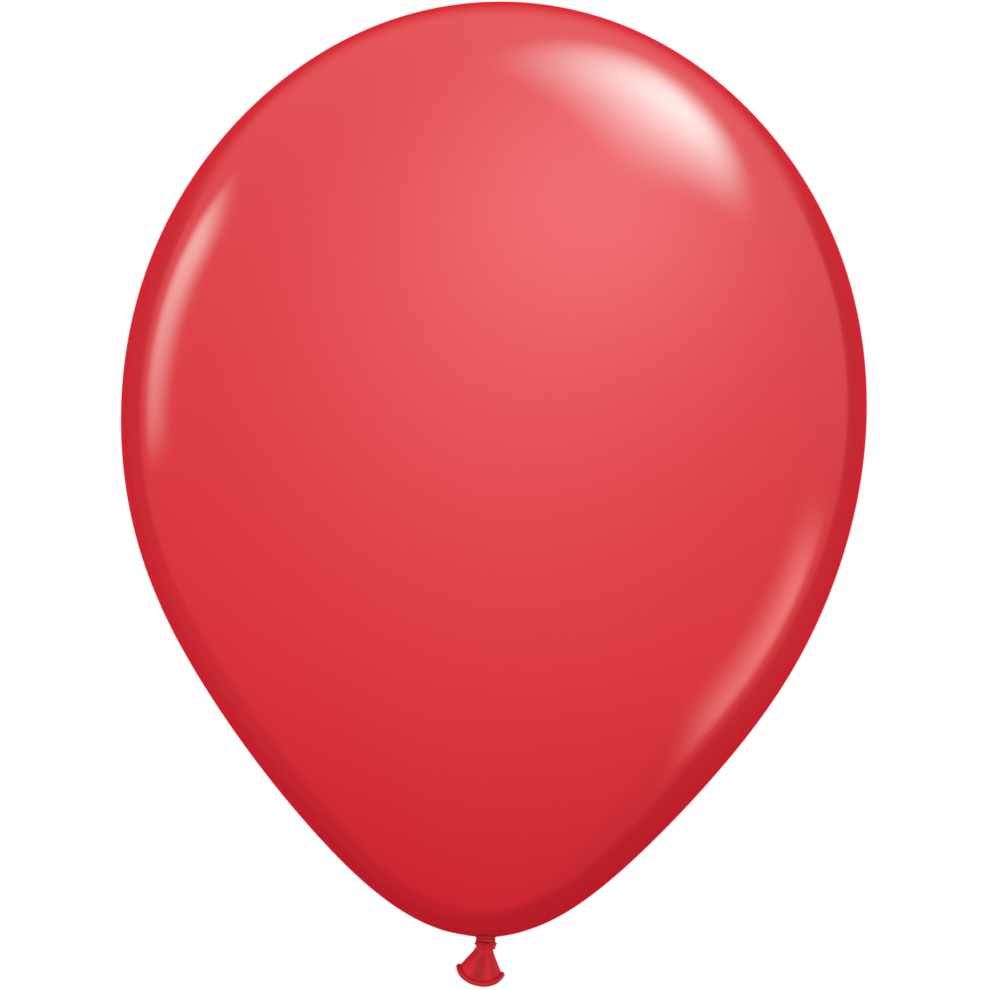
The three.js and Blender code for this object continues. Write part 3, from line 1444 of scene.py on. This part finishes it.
@dataclass(frozen=True)
class AreaLight:
    """A square soft light, aimed at the balloon, that the gloss doesn't show.

    Attributes:
        name: What it is.
        azimuth: Degrees round the balloon, from the camera's side towards the right.
        elevation: Degrees above the balloon's middle.
        distance: From the balloon's middle.
        side: Length of its sides.
        power: In watts.
    """

    name: str
    azimuth: float
    elevation: float
    distance: float
    side: float
    power: float

    def place(self, aim: Vector) -> bpy.types.Object:
        """Adds the light to the scene.

        Args:
            aim: The point that it shines at.

        Returns:
            The light's object.
        """
        data = bpy.data.lights.new(self.name, "AREA")
        data.shape = "SQUARE"
        data.size = self.side
        data.energy = self.power
        light = bpy.data.objects.new(self.name, data)
        away = towards(self.azimuth, self.elevation)
        turn = away.to_track_quat("Z", "Y").to_matrix().to_4x4()
        light.matrix_world = Matrix.Translation(aim + away * self.distance) @ turn
        light.visible_camera = False
        light.visible_glossy = False
        bpy.context.scene.collection.objects.link(light)
        return light


@dataclass(frozen=True)
class Lobe:
    """A broad bright part of the tent: amount times the exponential of sharpness times (cosine - 1).

    Attributes:
        azimuth: Degrees round the balloon, from the camera's side towards the right.
        elevation: Degrees above the level.
        amount: Its brightness in the middle.
        sharpness: How fast it fades. The cosine is of the angle from its middle.
    """

    azimuth: float
    elevation: float
    amount: float
    sharpness: float

    def add(self, make: NodeBuilder, direction: bpy.types.NodeSocket) -> bpy.types.NodeSocket:
        """Adds its nodes.

        Args:
            make: Builds in the world's tree.
            direction: The direction looked in.

        Returns:
            Its brightness there.
        """
        cosine = make.dot(direction, towards(self.azimuth, self.elevation))
        fade = make.math("MULTIPLY_ADD", cosine, self.sharpness, -self.sharpness)
        return make.math("MULTIPLY", make.math("EXPONENT", fade), self.amount)


@dataclass(frozen=True)
class Softbox:
    """A softbox outside the tent, on the plane that touches the unit sphere at its middle.

    Across runs level and up runs towards the top. Each edge is a ramp, as (value at 0, value at 1).

    Attributes:
        azimuth: Degrees round the balloon, from the camera's side towards the right.
        elevation: Degrees above the level.
        amount: Its brightness in the middle.
        near: Ramp of its edge at negative across.
        far: Ramp of its edge at positive across.
        bottom: Ramp of its lower edge.
        top: Ramp of its upper edge.
        gradient: How much brighter it gets per unit upwards.
        near_slant: How far the near edge moves towards positive across, per unit upwards.
        far_slant: How far the far edge does.
        tilt: How far the lower edge sinks per unit across.
        tint: Its colour.
    """

    azimuth: float
    elevation: float
    amount: float
    near: Edge
    far: Edge
    bottom: Edge
    top: Edge
    gradient: float = 0.0
    near_slant: float = 0.0
    far_slant: float = 0.0
    tilt: float = 0.0
    tint: Colour = (1.0, 1.0, 1.0)

    def add(self, make: NodeBuilder, direction: bpy.types.NodeSocket) -> bpy.types.NodeSocket:
        """Adds its nodes.

        Args:
            make: Builds in the world's tree.
            direction: The direction looked in.

        Returns:
            Its colour there.
        """
        middle = towards(self.azimuth, self.elevation)
        across = middle.cross(Vector((0.0, 0.0, 1.0))).normalized()
        ahead = make.dot(direction, middle)
        depth = make.math("MAXIMUM", ahead, 0.05)
        u = make.math("DIVIDE", make.dot(direction, across), depth)
        v = make.math("DIVIDE", make.dot(direction, across.cross(middle)), depth)
        edges = (
            (make.math("MULTIPLY_ADD", v, -self.near_slant, u), self.near),
            (make.math("MULTIPLY_ADD", v, -self.far_slant, u), self.far),
            (make.math("MULTIPLY_ADD", u, self.tilt, v), self.bottom),
            (v, self.top),
        )
        mask = make.ramp(ahead, 0.2, 0.4)
        for value, edge in edges:
            mask = make.math("MULTIPLY", mask, make.ramp(value, *edge))
        bright = make.math("MAXIMUM", make.math("MULTIPLY_ADD", v, self.gradient, self.amount), 0.0)
        return make.scaled(self.tint, make.math("MULTIPLY", mask, bright))


@dataclass
class Studio:
    """The pale floor, the camera and the lights.

    Attributes:
        camera_distance: From the camera to the balloon's axis.
        lens: Focal length, in millimetres, on a 36 mm sensor.
        aim: The point in the middle of the picture.
        roll: Degrees that the camera is rolled, so that the balloon leans to the right.
        floor_drop: From the origin down to the floor.
        floor_radius: Of the round floor.
        floor_colour: Its colour.
        floor_roughness: Its roughness.
        fill: Brightness of the even light on the film's colour.
        fill_slope: How much stronger that light is from below than from level, as a share.
        lights: The lights.
        lobes: The tent's broad bright parts.
        tent_offset: What is added to the lobes, so that they fade to nothing behind and below.
        tent_red: Red that the tent adds everywhere but at the back.
        tent_end: Ramp, along Y, of the end of the tent's front.
        back_edge: Ramp, along Y, of the start of the dark back, at the level and above.
        back_bulge: How far that start comes forward below the level, for each unit of height squared.
        back_top: Ramp, along Z, of the back's upper edge.
        back_red: Red of the back for each unit of Y beyond where it starts.
        back_red_start: Y at which it starts, at the level and above.
        back_red_sink: What a unit of depth below the level adds to it.
        back_tint: Its colour.
        boxes: The softboxes.
    """

    camera_distance: float = 3.0
    lens: float = 289.9
    aim: Point = (1.12 * MM, 0.0, 166.53 * MM)
    roll: float = 0.82
    floor_drop: float = 0.35
    floor_radius: float = 3.6
    floor_colour: Colour = (0.86, 0.86, 0.86)
    floor_roughness: float = 0.8
    fill: float = 0.94
    fill_slope: float = 0.06
    lights: tuple[AreaLight, ...] = (
        AreaLight("key_front", azimuth=-12.0, elevation=4.0, distance=2.2, side=1.2, power=1.6),
    )
    lobes: tuple[Lobe, ...] = (
        Lobe(58.8, 51.7, 1.231, 4.708),
        Lobe(6.2, 36.8, 2.315, 0.962),
        Lobe(18.0, 46.0, 0.40, 6.0),
    )
    tent_offset: float = -0.349
    tent_red: float = 0.70
    tent_end: Edge = (1.0, 0.78)
    back_edge: Edge = (0.762, 0.782)
    back_bulge: float = 0.42
    back_top: Edge = (0.42, 0.22)
    back_red: float = 2.8
    back_red_start: float = 2.0 / 2.8
    back_red_sink: float = 0.5
    back_tint: Colour = (1.0, 0.012, 0.032)
    boxes: tuple[Softbox, ...] = (
        Softbox(
            azimuth=140.0,
            elevation=48.0,
            amount=7.9,
            near=(-0.32, 0.12),
            far=(0.67, 0.11),
            bottom=(-0.285, -0.03),
            top=(0.72, 0.0),
            near_slant=-0.12,
            far_slant=0.35,
            tint=(0.35, 1.0, 0.96),
        ),
        Softbox(
            azimuth=-131.0,
            elevation=12.0,
            amount=2.2,
            gradient=5.4,
            near=(-0.28, -0.06),
            far=(0.115, -0.01),
            bottom=(-0.34, -0.22),
            top=(0.34, 0.14),
            tint=(0.5, 1.0, 0.89),
        ),
        Softbox(
            azimuth=130.0,
            elevation=-20.0,
            amount=1.2,
            near=(-0.11, -0.01),
            far=(0.33, 0.0),
            bottom=(-0.40, -0.20),
            top=(0.22, 0.02),
            tilt=0.5,
            tint=(1.3, 1.0, 0.86),
        ),
    )

    def camera(self) -> None:
        """A long lens, level with the balloon's middle, in front."""
        data = bpy.data.cameras.new("camera")
        data.lens = self.lens
        data.sensor_width = 36.0
        data.clip_start, data.clip_end = 0.1, 100.0
        camera = bpy.data.objects.new("camera", data)
        x, _, z = self.aim
        upright = Matrix.Rotation(math.pi / 2, 4, "X")
        roll = Matrix.Rotation(math.radians(self.roll), 4, "Z")
        camera.matrix_world = Matrix.Translation((x, -self.camera_distance, z)) @ upright @ roll
        bpy.context.scene.collection.objects.link(camera)
        bpy.context.scene.camera = camera

    def floor(self) -> None:
        """A plain pale disc, well below the balloon, which hangs in the air. From below it is clear."""
        turn = np.linspace(0.0, TAU, 96, endpoint=False)
        x, y = self.floor_radius * np.cos(turn), self.floor_radius * np.sin(turn)
        rim = np.stack([x, y, np.full_like(turn, -self.floor_drop)], axis=-1)
        mesh = bpy.data.meshes.new("floor")
        mesh.from_pydata(rim.tolist(), [], [list(range(len(rim)))])
        floor = bpy.data.objects.new("floor", mesh)
        bpy.context.scene.collection.objects.link(floor)
        material = bpy.data.materials.new("pale_floor")
        material.use_nodes = True
        shader = material.node_tree.nodes["Principled BSDF"]
        shader.inputs["Base Color"].default_value = (*self.floor_colour, 1.0)
        shader.inputs["Roughness"].default_value = self.floor_roughness
        make = NodeBuilder(material.node_tree)
        side = make.add("ShaderNodeNewGeometry").outputs["Backfacing"]
        clear = make.add("ShaderNodeBsdfTransparent").outputs[0]
        mixed = make.add("ShaderNodeMixShader", {0: side, 1: shader.outputs[0], 2: clear})
        make.feed(material.node_tree.nodes["Material Output"].inputs["Surface"], mixed.outputs[0])
        mesh.materials.append(material)
        floor.visible_glossy = False
        floor.visible_diffuse = False

    def tent(self, make: NodeBuilder, direction: bpy.types.NodeSocket) -> bpy.types.NodeSocket:
        """What the film's gloss shows: a bright tent with softboxes, and a dark back behind the balloon.

        The back ends a little above the level. It is dark but for a red that grows towards its middle.

        Args:
            make: Builds in the world's tree.
            direction: The direction looked in.

        Returns:
            The colour there.
        """
        split = make.add("ShaderNodeSeparateXYZ", {0: direction}).outputs
        ahead, height = split["Y"], split["Z"]
        sunk = make.math("MINIMUM", height, 0.0)
        bulge = make.math("MULTIPLY", make.math("MULTIPLY", sunk, sunk), self.back_bulge)
        behind = make.ramp(make.math("ADD", ahead, bulge), *self.back_edge)
        back = make.math("MULTIPLY", behind, make.ramp(height, *self.back_top))
        front = make.math("SUBTRACT", 1.0, back)
        glow = self.tent_offset
        for lobe in self.lobes:
            glow = make.math("ADD", glow, lobe.add(make, direction))
        glow = make.math("MAXIMUM", glow, 0.0)
        colour = make.add("ShaderNodeCombineXYZ", {0: glow, 1: glow, 2: glow}).outputs[0]
        for box in self.boxes:
            colour = make.sum(colour, box.add(make, direction))
        opening = make.math("MULTIPLY", make.ramp(ahead, *self.tent_end), front)
        colour = make.scaled(colour, opening)
        start = -self.back_red * self.back_red_start
        lift = make.math("MULTIPLY_ADD", sunk, -self.back_red_sink, start)
        red = make.math("MAXIMUM", make.math("MULTIPLY_ADD", ahead, self.back_red, lift), 0.0)
        colour = make.sum(colour, make.scaled(self.back_tint, make.math("MULTIPLY", red, back)))
        front_red = make.math("MULTIPLY", front, self.tent_red)
        return make.sum(colour, make.scaled((1.0, 0.0, 0.0), front_red))

    def world(self) -> None:
        """White behind the balloon, an even fill on its colour, and the tent in its gloss."""
        world = bpy.data.worlds.new("light_tent")
        bpy.context.scene.world = world
        world.use_nodes = True
        world.node_tree.nodes.clear()
        make = NodeBuilder(world.node_tree)
        path = make.add("ShaderNodeLightPath").outputs
        direction = make.add("ShaderNodeTexCoord").outputs["Generated"]
        height = make.add("ShaderNodeSeparateXYZ", {0: direction}).outputs["Z"]
        level = make.math("MULTIPLY_ADD", height, -self.fill * self.fill_slope, self.fill)
        fill = make.add("ShaderNodeCombineColor", {0: level, 1: level, 2: level}).outputs[0]
        seen = make.mix(path["Is Glossy Ray"], fill, self.tent(make, direction))
        seen = make.mix(path["Is Camera Ray"], seen, (1.0, 1.0, 1.0, 1.0))
        background = make.add("ShaderNodeBackground", {"Color": seen, "Strength": 1.0})
        make.add("ShaderNodeOutputWorld", {"Surface": background.outputs[0]})

    def assemble(self) -> None:
        """Sets up the camera, the floor, the world and the lights."""
        bpy.context.scene.view_settings.view_transform = "Standard"
        self.camera()
        self.floor()
        self.world()
        for light in self.lights:
            light.place(Vector(self.aim))


def main() -> None:
    """Builds the balloon piece by piece, from the envelope down to the lip, and then the studio."""
    logging.basicConfig(level=logging.INFO, format="%(name)s %(message)s")
    groups = FilmGroups()
    envelope = Envelope()
    envelope.assemble(groups)
    Neck().assemble(envelope, groups)
    Collar().assemble(groups)
    Knot().assemble(groups)
    Tail().assemble(groups)
    Studio().assemble()


if __name__ == "__main__":
    main()
